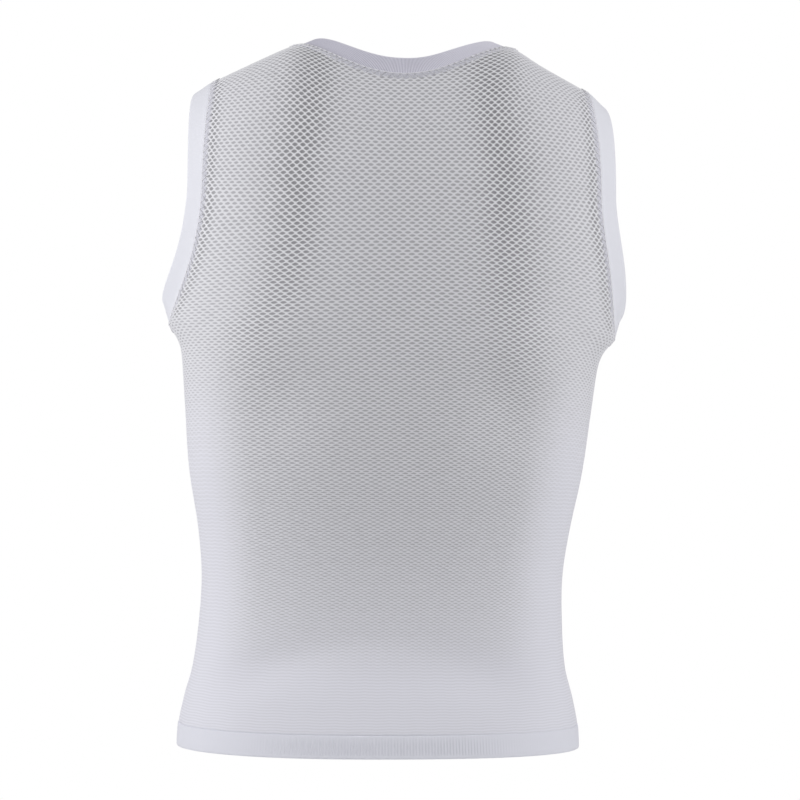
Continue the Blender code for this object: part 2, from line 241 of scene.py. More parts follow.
def section(z, column):
    """A column of SECTIONS at heights z, on a smooth curve through the rows."""
    heights, values = SECTIONS[:, 0], SECTIONS[:, SECTION_COLUMNS.index(column)]
    last = len(heights) - 1
    z = np.clip(z, heights[0], heights[-1])
    k = np.clip(np.searchsorted(heights, z, side="right") - 1, 0, last - 1)
    before, after = np.maximum(k - 1, 0), np.minimum(k + 2, last)
    span = heights[k + 1] - heights[k]
    t = (z - heights[k]) / span
    rise_b = (values[k + 1] - values[before]) / (heights[k + 1] - heights[before]) * span
    rise_c = (values[after] - values[k]) / (heights[after] - heights[k]) * span
    return (
        (2 * t**3 - 3 * t**2 + 1) * values[k]
        + (t**3 - 2 * t**2 + t) * rise_b
        + (3 * t**2 - 2 * t**3) * values[k + 1]
        + (t**3 - t**2) * rise_c
    )


def posed(points):
    """The places of the symmetrical cut's points in the uneven form that the garment has."""
    x, y, z = points.T
    rise = smooth((z - TILT_FROM_Z) / (TILT_FULL_Z - TILT_FROM_Z))
    lift = TILT * mix(TILT_AT_HEM, 1.0, rise) * np.sign(x) * (x / TILT_REACH) ** 2
    drawn = CORNER_OUT * np.exp(-(((x - CORNER_AT) / CORNER_REACH) ** 2))
    drawn = drawn * smooth(1.0 + z / CORNER_LOW)
    return np.column_stack([x - drawn + section(z, "sway"), y, z + lift])


def row_shape(panel, level):
    """The heights of rows, and the half width, depth and edge's depth of their curves."""
    turn = np.clip(level - 1.0, 0.0, 1.0) * math.pi / 2
    round_up = mix(MIDDLE_Z, ARMPIT_Z, np.cos(turn))
    z = np.where(level > 1.0, round_up, mix(HEM_Z, ARMPIT_Z, level))
    return z, section(z, "half"), section(z, panel), ARMHOLE_DEPTH[panel] * np.sin(turn)


def row_curve(half, apex, angle):
    x = half * np.sin(angle) ** (2 / SECTION_SQUARE)
    return x, apex * np.abs(np.cos(angle)) ** (2 / SECTION_SQUARE)


def row_tables(panel):
    """For rows at even levels, the curve's angle at even shares of its length, and the length."""
    levels = np.linspace(0.0, 2.0, 2 * ROW_LEVELS + 1)
    angles, lengths = [], []
    for _, half, apex, edge in zip(*row_shape(panel, levels)):
        angle = np.linspace(0.0, math.acos((edge / apex) ** (SECTION_SQUARE / 2)), ROW_SAMPLES + 1)
        x, depth = row_curve(half, apex, angle)
        along = np.concatenate([[0.0], np.cumsum(np.hypot(np.diff(x), np.diff(depth)))])
        even = np.linspace(0.0, along[-1], ROW_SAMPLES + 1)
        angles.append(np.interp(even, along, angle))
        lengths.append(along[-1])
    return levels, np.array(angles), np.array(lengths)


ROWS = {panel: row_tables(panel) for panel in SIDES}


def row_angle(panel, share, level):
    table = ROWS[panel][1]
    row, column = np.clip(level, 0.0, 2.0) * ROW_LEVELS, np.abs(share) * ROW_SAMPLES
    r = np.minimum(row.astype(int), 2 * ROW_LEVELS - 1)
    c = np.minimum(column.astype(int), ROW_SAMPLES - 1)
    lower = mix(table[r, c], table[r, c + 1], column - c)
    return mix(lower, mix(table[r + 1, c], table[r + 1, c + 1], column - c), row - r)


def row_points(panel, share, level):
    """Points of the symmetrical cut on level rows, from the hem to the middle level."""
    z, half, apex, _ = row_shape(panel, level)
    turn = np.clip(level - 1.0, 0.0, 1.0) * math.pi / 2
    below = np.exp(-(np.clip((ARMPIT_Z - z) / FLARE_BELOW, 0.0, None) ** FLARE_FADE))
    fade = np.where(level > 1.0, np.clip(np.cos(turn), 0.0, 1.0) ** FLARE_FADE, below)
    x, depth = row_curve(half, apex, row_angle(panel, share, level))
    x = x + FLARE * fade * smooth((np.abs(share) - 1.0 + FLARE_REACH) / FLARE_REACH)
    return np.column_stack([np.copysign(x, share), SIDES[panel] * depth, z])


def ridge_z(x):
    beyond = np.abs(x) - RIDGE_HALF
    return RIDGE_Z - SHOULDER_SLOPE * (beyond + np.hypot(beyond, SLOPE_START)) / 2


def shoulder_points(panel, share, climb):
    """Points between the middle level and the shoulder seam, on the columns' curves."""
    start = row_points(panel, share, np.full_like(share, 2.0))
    below = row_points(panel, share, np.full_like(share, 2.0 - STEP))
    slope = (start[:, 1] - below[:, 1]) / (start[:, 2] - below[:, 2])
    spread = (NECK_HALF / TIP_HALF / NECK_SHARE - 1.0) / (1.0 - NECK_SHARE)
    x = TIP_HALF * share * (1.0 + spread * (1.0 - np.abs(share)))
    end = np.column_stack([x, np.full_like(x, -SEAM_FORWARD), ridge_z(x)])
    still = np.zeros_like(x)
    rise = ARC * (end[:, 2] - start[:, 2])
    run = ARC * np.abs(start[:, 1] - end[:, 1]) * SIDES[panel]
    leave = start + np.column_stack([still, slope * rise, rise])
    arrive = end + np.column_stack([still, run, run * SEAM_PITCH])
    t, rest = climb[:, None], 1.0 - climb[:, None]
    return (
        start * rest**3 + leave * 3 * rest**2 * t + arrive * 3 * rest * t**2 + end * t**3
    )


def cloth(panel, share, level):
    """Points of the cloth's outer face."""
    share, level = (np.array(v, float) for v in np.broadcast_arrays(share, level))
    points = np.empty((len(share), 3))
    low = level <= 2.0
    if low.any():
        points[low] = row_points(panel, share[low], level[low])
    if not low.all():
        points[~low] = shoulder_points(panel, share[~low], level[~low] - 2.0)
    return posed(points)


def facing(panel, share, level):
    """The way that the cloth's outer face looks."""
    share, level = (np.array(v, float) for v in np.broadcast_arrays(share, level))
    inside = np.clip(share, EDGE_INSET - 1.0, 1.0 - EDGE_INSET)
    after_bend = (level - np.floor(level) < STEP) & (level < 2.5)
    low = np.where(after_bend, level, level - STEP)
    across = cloth(panel, inside + EDGE_INSET, level) - cloth(panel, inside - EDGE_INSET, level)
    up = cloth(panel, inside, low + STEP) - cloth(panel, inside, low)
    return unit(np.cross(up, across) * SIDES[panel])


def neckline(panel, share):
    """The level at which a column ends."""
    across = np.clip(share / NECK_SHARE, -1.0, 1.0)
    shifted = across + NECK_SHIFT * (1.0 - across**2)
    cut = NECKLINE[panel]
    fall = np.clip(1.0 - shifted**2, 0.0, None) ** cut["power"]
    return 3.0 - (1.0 - cut["centre"]) * fall * (np.abs(share) < NECK_SHARE)


# ---- making meshes ----


def add_mesh(name, points, faces, finish, uv, turn=0.0):
    """A piece made from points in millimetres, with its named maps over the cloth.

    A closed band's turn is the length after which its map begins again.
    """
    mesh = bpy.data.meshes.new(name)
    mesh.from_pydata((np.asarray(points) * MM).tolist(), [], faces)
    mesh.update()
    corners = np.empty(len(mesh.loops), np.int32)
    mesh.loops.foreach_get("vertex_index", corners)
    for layer_name, places in uv.items():
        layer = mesh.uv_layers.new(name=layer_name)
        at_corners = np.asarray(places, np.float32)[corners]
        if turn and layer_name == "cloth_mm":
            along = at_corners[:, 0].reshape(-1, 4)
            begun = along.max(axis=1, keepdims=True) - along > turn / 2
            at_corners[:, 0] = (along + turn * begun).ravel()
        layer.data.foreach_set("uv", at_corners.ravel())
    mesh.materials.append(finish)
    mesh.shade_smooth()
    piece = bpy.data.objects.new(name, mesh)
    bpy.context.scene.collection.objects.link(piece)
    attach(piece, "root")
    return piece


def grid_faces(rows, columns, closed=False, flip=False):
    """Quads of a grid of points, row by row. A closed grid's last column meets its first."""
    r, c = np.mgrid[0 : rows - 1, 0 : columns - (0 if closed else 1)]
    a = r * columns + c
    b = r * columns + (c + 1) % columns
    quads = np.stack([a, b, b + columns, a + columns], axis=-1).reshape(-1, 4)
    return (quads[:, ::-1] if flip else quads).tolist()


def closing_faces(rows, columns, flip=False):
    """Quads from a closed grid's last row back to its first."""
    ring = np.arange(columns)
    after, last = (ring + 1) % columns, (rows - 1) * columns
    quads = np.stack([last + ring, last + after, after, ring], axis=-1)
    return (quads[:, ::-1] if flip else quads).tolist()


# ---- the mesh knit ----


def net_value(z, column):
    return np.interp(z, NET[:, 0], NET[:, NET_COLUMNS.index(column)])


class Courses:
    """A panel's courses, counted up its middle from the hem, and the wales' places on them."""

    def __init__(self, panel):
        self.levels = np.linspace(HEM_TOP_LEVEL, 3.0, COURSE_SAMPLES)
        middle = cloth("back", np.zeros_like(self.levels), self.levels)
        steps = np.linalg.norm(np.diff(middle, axis=0), axis=1)
        rises = net_value((middle[1:, 2] + middle[:-1, 2]) / 2, "course")
        self.counts = np.concatenate([[0.0], np.cumsum(steps / rises)])
        self.heights = middle[:, 2]
        self.total = 2 * round(self.counts[-1] / 2)
        self.counts *= self.total / self.counts[-1]
        self.side_from = np.interp(SIDE_RISE_FROM_Z, self.heights, self.counts)
        # Above the armpits the wales go on nearly upright, past the armholes' edges.
        row = np.interp(np.clip(self.levels, 1.0, 2.0), ROWS[panel][0], ROWS[panel][2])
        rise = smooth((self.heights - ARMPIT_Z) / (TOP_WIDTH_Z - ARMPIT_Z))
        self.widths = np.where(self.levels > 1.0, mix(row[0], TOP_WIDTH * row[-1], rise) / row, 1.0)

    def height(self, course):
        return np.interp(course, self.counts, self.heights)

    def place(self, wale, course):
        """The share and the level of a place that is counted in wales and courses."""
        course = np.maximum(course, 0.0)
        across = np.clip(wale / WALES, -1.0, 1.0)
        beyond = np.maximum(course - self.side_from, 0.0) / (self.total - self.side_from)
        z = self.height(course)
        fall = smooth((z - SIDE_FALL_FROM_Z) / (SIDE_FALL_FULL_Z - SIDE_FALL_FROM_Z))
        rise = SIDE_RISE * beyond**2 / 2 * (self.total - self.side_from) - SIDE_FALL * fall
        level = np.interp(course + rise * across**2, self.counts, self.levels)
        climb = smooth((z - DRIFT_LOW_Z) / (DRIFT_HIGH_Z - DRIFT_LOW_Z))
        drift = mix(DRIFT_LOW, DRIFT_HIGH, climb)
        share = across + (net_value(z, "spread") * across + drift) * (1.0 - across**2)
        return np.clip(share * np.interp(level, self.levels, self.widths), -1.0, 1.0), level


def sheer(share, z):
    """Where the knit stretches most, in two upright bands, and, below 0, where it closes up.
    The same value sets the eyelets' painted shade: darker in the bands and beside the armholes'
    seams, lighter at the sides.
    """
    off = np.abs(share) - np.interp(z, [SHEER_BEND_Z, SHEER_TOP_Z], [SHEER_AT, SHEER_AT_TOP])
    bands = np.exp(-((off / np.where(off < 0, SHEER_INSIDE, SHEER_OUTSIDE)) ** 2))
    bands = bands * smooth((z - SHEER_FROM_Z) / (SHEER_FULL_Z - SHEER_FROM_Z))
    low = mix(CLOSED_TOP, 1.0, smooth((CLOSED_TOP_Z - z) / (CLOSED_TOP_Z - CLOSED_FULL_Z)))
    closed = CLOSED * low * (1.0 - bands) * smooth((np.abs(share) - CLOSED_FROM) / CLOSED_OVER)
    pulled = PULLED * np.exp(-(((np.abs(share) - PULLED_AT) / PULLED_REACH) ** 2))
    return bands - closed + pulled * (z > PULLED_FROM_Z)


def folds(share, z):
    """How far the cloth lies out of or into its plain form, in its few soft folds."""
    height = np.zeros_like(z)
    for at_share, at_z, fall, reach, reach_z, depth in FOLDS:
        middle_z = at_z - fall * (share / 0.5) ** 2
        away = ((share - at_share) / reach) ** 2 + ((z - middle_z) / reach_z) ** 2
        height += depth * np.exp(-away)
    return height


def net_relief(share, z):
    """How fully the strands stand out: less towards the hem, and there first at the sides."""
    side = smooth((np.abs(share) - SIDE_FADE_FROM) / SIDE_FADE_OVER)
    low = smooth((SIDE_FADE_FROM_Z - z) / (SIDE_FADE_FROM_Z - SIDE_FADE_FULL_Z))
    return net_value(z, "relief") * (1.0 - SIDE_FADE * side * low)


def build_net(panel, finish):
    """The mesh knit: a diamond of raised strands round each eyelet, with its sunk floor."""
    courses = Courses(panel)
    i, j = np.meshgrid(
        np.arange(-WALES, WALES + 1), np.arange(0, courses.total + 1), indexing="ij"
    )
    i, j = i[(i + j) % 2 == 0], j[(i + j) % 2 == 0]
    share, level = courses.place(i, j - 1)
    kept = level < neckline(panel, share) - BARELY
    i, j, share = i[kept], j[kept], share[kept]
    z = courses.height(j)
    open_more = 1.0 + SHEER * sheer(share, z)
    wide = net_value(z, "eye_wide") * open_more
    high = net_value(z, "eye_high") * open_more

    # The diamonds' corners are shared between neighbours, and each eyelet has four of its own.
    corner_i = np.stack([i + 1, i, i - 1, i], axis=1)
    corner_j = np.stack([j, j + 1, j, j - 1], axis=1)
    width = 2 * WALES + 3
    keys, corner = np.unique(
        (corner_j + 1) * width + corner_i + WALES + 1, return_inverse=True
    )
    corner = corner.reshape(corner_i.shape)
    wale, course = keys % width - WALES - 1, keys // width - 1
    eye_i = np.stack([i + wide, i, i - wide, i], axis=1).ravel()
    eye_j = np.stack([j, j + high, j, j - high], axis=1).ravel()
    all_i = np.concatenate([wale, eye_i])
    all_j = np.concatenate([course, eye_j])
    inner = (np.abs(all_i) < WALES - 1) & (all_j > 1)
    astray = np.random.default_rng(5).uniform(-UNEVEN, UNEVEN, (2, len(all_i))) * inner
    share, level = courses.place(all_i + astray[0], all_j + astray[1])
    level = np.minimum(level, neckline(panel, share))
    z = courses.height(all_j)
    relief = net_relief(share, z)
    is_corner = np.arange(len(all_i)) < len(keys)
    height = np.where(is_corner, STRAND_TOP, EYE_DEEP) * relief
    height = np.where(all_j < HEM_GROOVE_COURSES, -HEM_GROOVE, height + folds(share, z))
    points = cloth(panel, share, level) + facing(panel, share, level) * height[:, None]

    right, top, left, bottom = corner.T
    eye = len(keys) + 4 * np.arange(len(i))[:, None] + np.arange(4)
    faces = np.concatenate(
        [
            np.stack([right, top, eye[:, 1], eye[:, 0]], axis=1),
            np.stack([top, left, eye[:, 2], eye[:, 1]], axis=1),
            np.stack([left, bottom, eye[:, 3], eye[:, 2]], axis=1),
            np.stack([bottom, right, eye[:, 0], eye[:, 3]], axis=1),
            eye,
        ]
    )
    # Diamonds that the neckline, an armhole or the shoulder seam cuts off have no faces left.
    x, y = share[faces] * WALES, np.interp(level, courses.levels, courses.counts)[faces]
    area = np.abs((x * np.roll(y, -1, axis=1) - y * np.roll(x, -1, axis=1)).sum(axis=1))
    faces = faces[area > SLIVER]
    faces = (faces[:, ::-1] if panel == "back" else faces).tolist()
    # Both strength columns also set how much painted shade the eyelets take: how sheer the knit is,
    # and how fully the strands stand out.
    uv = {
        "lattice": np.column_stack([(all_i + all_j) / 2, (all_i - all_j) / 2]),
        "strength": np.column_stack([sheer(share, z), relief]),
    }
    return add_mesh(f"{panel}_net", points, faces, finish, uv)


def panel_size(panel):
    """A panel's greatest width, its greatest length and its area, in metres."""
    share, part = np.linspace(-1.0, 1.0, 81), np.linspace(0.0, 1.0, 121)
    top = neckline(panel, share)
    level = HEM_TOP_LEVEL + (top[None, :] - HEM_TOP_LEVEL) * part[:, None]
    points = cloth(panel, np.tile(share, len(part)), level.ravel())
    points = points.reshape(len(part), len(share), 3)
    across, up = np.diff(points, axis=1), np.diff(points, axis=0)
    width = np.linalg.norm(across, axis=2).sum(axis=1).max()
    length = np.linalg.norm(up, axis=2).sum(axis=0).max()
    area = np.linalg.norm(np.cross(across[:-1], up[:, :-1]), axis=2).sum()
    return width * MM, length * MM, area * MM * MM


# ---- bands ----


def line_lengths(points_at):
    """Parameters of a closed line, from 0 to 1, and its length as far as each."""
    t = np.linspace(0.0, 1.0, LINE_SAMPLES + 1)
    steps = np.linalg.norm(np.diff(points_at(t), axis=0), axis=1)
    return t, np.concatenate([[0.0], np.cumsum(steps)])


def even_steps(t, lengths, count):
    """The parameters at which a closed line has evenly spaced points."""
    return np.interp(np.arange(count) * lengths[-1] / count, lengths, t)


def line_ways(points):
    """The way that a closed line runs at each of its points."""
    return unit(np.roll(points, -1, axis=0) - np.roll(points, 1, axis=0))


def both_panels(function, on_back, share, level):
    """A function of (panel, share, level) where some places are on the back."""
    result = np.empty((len(share), 3))
    for panel, here in (("back", on_back), ("front", ~on_back)):
        if here.any():
            result[here] = function(panel, share[here], level[here])
    return result


def neck_places(t):
    """Places once round the neckline, from the middle of the back to the garment's left."""
    angle = 2 * math.pi * t
    share = NECK_SHARE * np.sin(angle)
    on_back = np.cos(angle) >= 0
    level = np.where(on_back, neckline("back", share), neckline("front", share))
    at_shoulder_seam = np.isclose(np.abs(np.sin(angle)), 1.0, rtol=0.0, atol=1e-9)
    return on_back, share, np.where(at_shoulder_seam, 3.0, level)


def armhole_places(side):
    def places(t):
        """Places round an armhole, from the armpit up the back and down the front."""
        climb = 1.0 - np.abs(1.0 - 2.0 * t)
        level = np.interp(climb, [0.0, ARMHOLE_SPLIT, 1.0], [1.0, 2.0, 3.0])
        return t <= 0.5, np.full_like(t, float(side)), level

    return places


def neck_leads(points, t):
    """The ways that the neck band stands: up, and leaning in."""
    across = np.abs(np.sin(2 * math.pi * t))
    middle = np.where(np.cos(2 * math.pi * t) >= 0, NECK_LEAN["back"], NECK_LEAN["front"])
    lean = np.radians(mix(middle, NECK_LEAN["side"], across**NECK_ROUND))[:, None]
    up = np.array([0.0, 0.0, 1.0])
    return unit(np.cross(line_ways(points), up)) * np.sin(lean) + up * np.cos(lean)


def arm_leads(side):
    def leads(points, t):
        """The ways that an armhole's band stands, turned outwards."""
        climb = 1.0 - np.abs(1.0 - 2.0 * t)
        middle = np.sin(math.pi * climb)[:, None] ** 2
        ends = np.where(climb[:, None] < 0.5, ARM_LEAN["armpit"], ARM_LEAN["tip"])
        sides = np.where(t[:, None] <= 0.5, ARM_LEAN["back"], ARM_LEAN["front"])
        lead = unit(mix(ends, sides, middle) * (side, 1.0, 1.0))
        return lead + np.outer(climb, (0.0, 0.0, BAND_TILT * side))

    return leads


class Seam:
    """A closed seam line with, at each point, the ways off it and out of the cloth."""

    def __init__(self, places_at, leads_at, step, under_arm=0.0):
        def line(t):
            return both_panels(cloth, *places_at(t))

        t, lengths = line_lengths(line)
        self.length = lengths[-1]
        self.count = RIB_STEPS * round(self.length / step / RIB_STEPS)
        self.around = np.arange(self.count) * step  # on the band's own map
        self.turn = self.count * step
        t = even_steps(t, lengths, self.count)
        on_back, self.share, level = places_at(t)
        self.points = both_panels(cloth, on_back, self.share, level)
        along = line_ways(self.points)
        self.normal = unit(square_to(both_panels(facing, on_back, self.share, level), along))
        lead = square_to(leads_at(self.points, t), along)
        self.off = np.cross(along, self.normal)
        self.turned = (self.off * lead).sum(1).mean() < 0
        if self.turned:
            self.off = -self.off
        self.bend = np.arctan2((lead * self.normal).sum(1), (lead * self.off).sum(1))
        climb = 1.0 - np.abs(1.0 - 2.0 * t)
        self.flare = under_arm * np.exp(-((climb / FLARE_CLIMB) ** 2))

    def at(self, distance, height):
        """Points this far from the seam, on the band or, if negative, on the cloth beside it."""
        distance = np.broadcast_to(distance, self.count)
        near = np.clip(distance, 0.0, BAND_BEND)
        bow = self.bend * near / BAND_BEND / 2
        turned = self.bend * near / BAND_BEND
        far = np.clip(distance - BAND_BEND, 0.0, None) + np.minimum(distance, 0.0)
        end = np.where(distance > 0, self.bend, 0.0)

        def way(angle, ahead, out):
            return (
                self.off * (ahead * np.cos(angle) - out * np.sin(angle))[:, None]
                + self.normal * (ahead * np.sin(angle) + out * np.cos(angle))[:, None]
            )

        # Under an arm the cloth beside the seam runs back from its flare.
        beside = (np.clip(-distance, 0.0, None) / FLARE_BELOW) ** FLARE_FADE
        height = height - self.flare * (1.0 - np.exp(-beside))

        zero = np.zeros(self.count)
        base = self.points + way(bow, near, zero) + way(end, far, zero)
        return base + way(turned, zero, np.broadcast_to(height, self.count))


def rib_wave(count):
    """How deep the cloth lies between ribs, from 0 on a rib to 1 between two."""
    return (1.0 - np.cos(2 * math.pi * np.arange(count) / RIB_STEPS)) / 2


def ribs_across(share, at_sides, fade_from, fade_over):
    """How fully the ribs stand across a panel, and so how much painted shade lies between them:
    less towards its sides.
    """
    return mix(1.0, at_sides, smooth((np.abs(share) - fade_from) / fade_over))


def build_band(name, seam, profile, rib_deep, rib_share, finish):
    """A closed folded band.

    profile is (distance, height, how fully the ribs stand there), and rib_share is how fully they
    stand at each point of the seam.
    """
    rib = rib_wave(seam.count) * rib_deep * rib_share
    rows = [seam.at(distance, height - rib * full) for distance, height, full in profile]
    points = np.stack(rows).reshape(-1, 3)
    faces = grid_faces(len(profile), seam.count, closed=True, flip=seam.turned)
    faces += closing_faces(len(profile), seam.count, flip=seam.turned)
    lengths = [0.0]
    for (d0, h0, _), (d1, h1, _) in zip(profile, profile[1:]):
        lengths.append(lengths[-1] + math.hypot(d1 - d0, h1 - h0))
    around = np.tile(seam.around, len(profile))
    stands = np.concatenate([full * rib_share for _, _, full in profile])
    uv = {
        "cloth_mm": np.column_stack([around, np.repeat(lengths, seam.count)]) * MM,
        "strength": np.column_stack([stands, stands]),
    }
    return add_mesh(name, points, faces, finish, uv, seam.turn * MM)


def folded(width, ribbed):
    """The profile of a folded band: its outer face, its fold and its inner face."""
    top, bottom = BAND_PROUD, BAND_PROUD - BAND
    outer = [(BAND_EDGE, top - BAND_EDGE_LOW, 0.0), (BAND_FULL_FROM, top, ribbed)]
    outer += [(width * part, top, ribbed) for part in BAND_ROWS]
    fold = []
    for step, stands in enumerate(FOLD_RIBS):
        angle = math.pi * step / (len(FOLD_RIBS) - 1)
        distance = width - BAND / 2 + BAND / 2 * math.sin(angle)
        height = (top + bottom) / 2 + BAND / 2 * math.cos(angle)
        fold.append((distance, height, ribbed * stands))
    inner = [(width * part, bottom, 0.0) for part in BAND_INSIDE_ROWS]
    return outer + fold + inner + [(BAND_EDGE, bottom, 0.0)]


def build_tape(name, seam, finish):
    """The covered seam beside a band, as a narrow tape."""
    points = np.concatenate([seam.at(distance, height) for distance, height in TAPE])
    faces = grid_faces(len(TAPE), seam.count, closed=True, flip=not seam.turned)
    around = np.tile(seam.around, len(TAPE))
    away = np.repeat([-distance for distance, _ in TAPE], seam.count)
    places = np.column_stack([around, away]) * MM
    uv = {"cloth_mm": places, "strength": np.zeros_like(places)}
    return add_mesh(f"{name}_seam_tape", points, faces, finish, uv, seam.turn * MM)


def thread_along(line, out):
    """Points and faces of a closed thread round a closed line, given the ways out of the cloth."""
    along = line_ways(line)
    out = unit(square_to(out, along))
    side = np.cross(along, out)
    rows = []
    for turn in 2 * math.pi * np.arange(THREAD_SIDES) / THREAD_SIDES:
        rows.append(line + THREAD * (out * math.cos(turn) + side * math.sin(turn)))
    faces = grid_faces(THREAD_SIDES, len(line), closed=True)
    faces += closing_faces(THREAD_SIDES, len(line))
    return np.concatenate(rows), np.array(faces)


def build_stitches(name, seam, finish):
    """The threads over a covered seam: a zigzag, and a straight one beside the band."""
    count = 2 * round(seam.length / STITCH_PITCH)
    place = np.arange(count) * seam.count / count
    k, part = place.astype(int), (place % 1.0)[:, None]

    def between(row):
        return mix(row[k], row[(k + 1) % seam.count], part)

    near, far = between(seam.at(*THREAD_NEAR)), between(seam.at(*THREAD_FAR))
    out = between(seam.normal)
    even = np.arange(count)[:, None] % 2 == 0
    zigzag, zigzag_faces = thread_along(np.where(even, near, far), out)
    straight, straight_faces = thread_along(near, out)
    points = np.concatenate([zigzag, straight])
    faces = np.concatenate([zigzag_faces, straight_faces + len(zigzag)]).tolist()
    uv = {"cloth_mm": points[:, [0, 2]] * MM, "strength": np.zeros((len(points), 2))}
    return add_mesh(f"{name}_stitches", points, faces, finish, uv)


def build_hem(finish):
    """The ribbed welt, with a step at its top and a thin plain edge below."""
    top, bottom = BAND_PROUD, BAND_PROUD - BAND
    profile = [  # how far up the hem, the height over the cloth, how fully the ribs stand
        (1.0, bottom + 0.6, 0.0), (1.0, top - 0.25, 0.0), (0.97, top, 0.1), (0.92, top, 0.3),
        (0.80, top, 0.65), (0.62, top, 1.0), (0.44, top, 1.0), (0.28, top, 1.0), (0.17, top, 0.8),
        (0.13, top - 0.12, 0.0), (0.05, top - 0.1, 0.0), (0.0, top - 0.5, 0.0),
        (0.0, bottom + 0.5, 0.0), (0.04, bottom, 0.0), (0.5, bottom, 0.0), (0.96, bottom, 0.0),
    ]

    def places(t):
        share = np.where(t < 0.5, 1.0 - 4.0 * t, 4.0 * t - 3.0)
        return t < 0.5, share, np.full_like(t, HEM_TOP_LEVEL)

    def line(t):
        return both_panels(cloth, *places(t))

    t, lengths = line_lengths(line)
    length = lengths[-1]
    count = RIB_STEPS * round(length / HEM_RIB)
    on_back, share, _ = places(even_steps(t, lengths, count))
    fine = HEM_WAVE * np.cos(2 * math.pi * np.arange(count) / RIB_STEPS * HEM_WAVES)
    fade = ribs_across(share, HEM_RIB_AT_SIDES, HEM_RIB_FADE_FROM, HEM_RIB_FADE_OVER)
    rib = (rib_wave(count) + fine) * HEM_RIB_DEEP * fade
    rows = []
    for up, out, full in profile:
        level = np.full_like(share, up * HEM_TOP_LEVEL)
        normal = both_panels(facing, on_back, share, level)
        base = both_panels(cloth, on_back, share, level)
        rows.append(base + normal * (out - rib * full)[:, None])
    points = np.stack(rows).reshape(-1, 3)
    faces = grid_faces(len(profile), count, closed=True)
    faces += closing_faces(len(profile), count)
    step = HEM_RIB / RIB_STEPS
    around = np.tile(np.arange(count) * step, len(profile))
    ups = np.repeat([up * HEM_HEIGHT for up, _, _ in profile], count)
    stands = np.concatenate([fade * full for _, _, full in profile])
    uv = {
        "cloth_mm": np.column_stack([around, ups]) * MM,
        "strength": np.column_stack([stands, stands]),
    }
    turn = count * step * MM
    return add_mesh("hem_rib_band", points, faces, finish, uv, turn), length


# ---- finishes ----

# A yarn's light colour is its own; its second colour is painted shade for the gaps between loops
# and the valleys between ribs.
YARN_COLUMNS = ("light", "painted_shade", "roughness", "sheen", "wale", "course", "bump")
YARNS = {  # wale and course are a loop's width and height
    "neck_rib": ((0.86, 0.85, 0.95), (0.47, 0.46, 0.545), 0.85, 0.15, NECK_RIB, 0.9, 0.4),
    "hem_rib": ((0.79, 0.795, 0.87), (0.70, 0.705, 0.78), 0.85, 0.15, HEM_RIB, 0.9, 0.4),
    "smooth_band": ((0.825, 0.83, 0.895), (0.715, 0.72, 0.785), 0.8, 0.15, 0.9, 0.8, 0.4),
    # The seam tape's colours are both darkened as painted shade for the shadows between its
    # stitches.
    "seam_tape_painted_shade": ((0.68, 0.68, 0.75), (0.48, 0.48, 0.54), 0.85, 0.1, 0.9, 0.8, 0.4),
    "stitch_thread": ((0.90, 0.895, 0.94), (0.80, 0.795, 0.84), 0.7, 0.1, 0.5, 0.5, 0.2),
}
YARN_SPECULAR, YARN_SHEEN_SPREAD = 0.25, 0.5
YARN_RELIEF = 0.15  # the height that the bump stands for
GRAIN_SCALE, GRAIN_DETAIL = 420.0, 3.0
GRAIN_INPUTS = (("Wale", 0.9), ("Course", 0.7), ("Rib", 0.0), ("Unevenness", 0.3))
# How far the gaps between loops and the valleys between ribs take painted shade, and how far random
# unevenness darkens the yarn.
LOOP_SHADE, RIB_SHADE, UNEVEN_SHADE = 0.25, 0.75, 0.3


def maths_in(nodes, links):
    """A function that adds a Math node and gives its output."""

    def maths(operation, *values):
        node = nodes.new("ShaderNodeMath")
        node.operation = operation
        for socket, value in zip(node.inputs, values):
            if isinstance(value, (int, float)):
                socket.default_value = value
            else:
                links.new(value, socket)
        return node.outputs[0]

    return maths


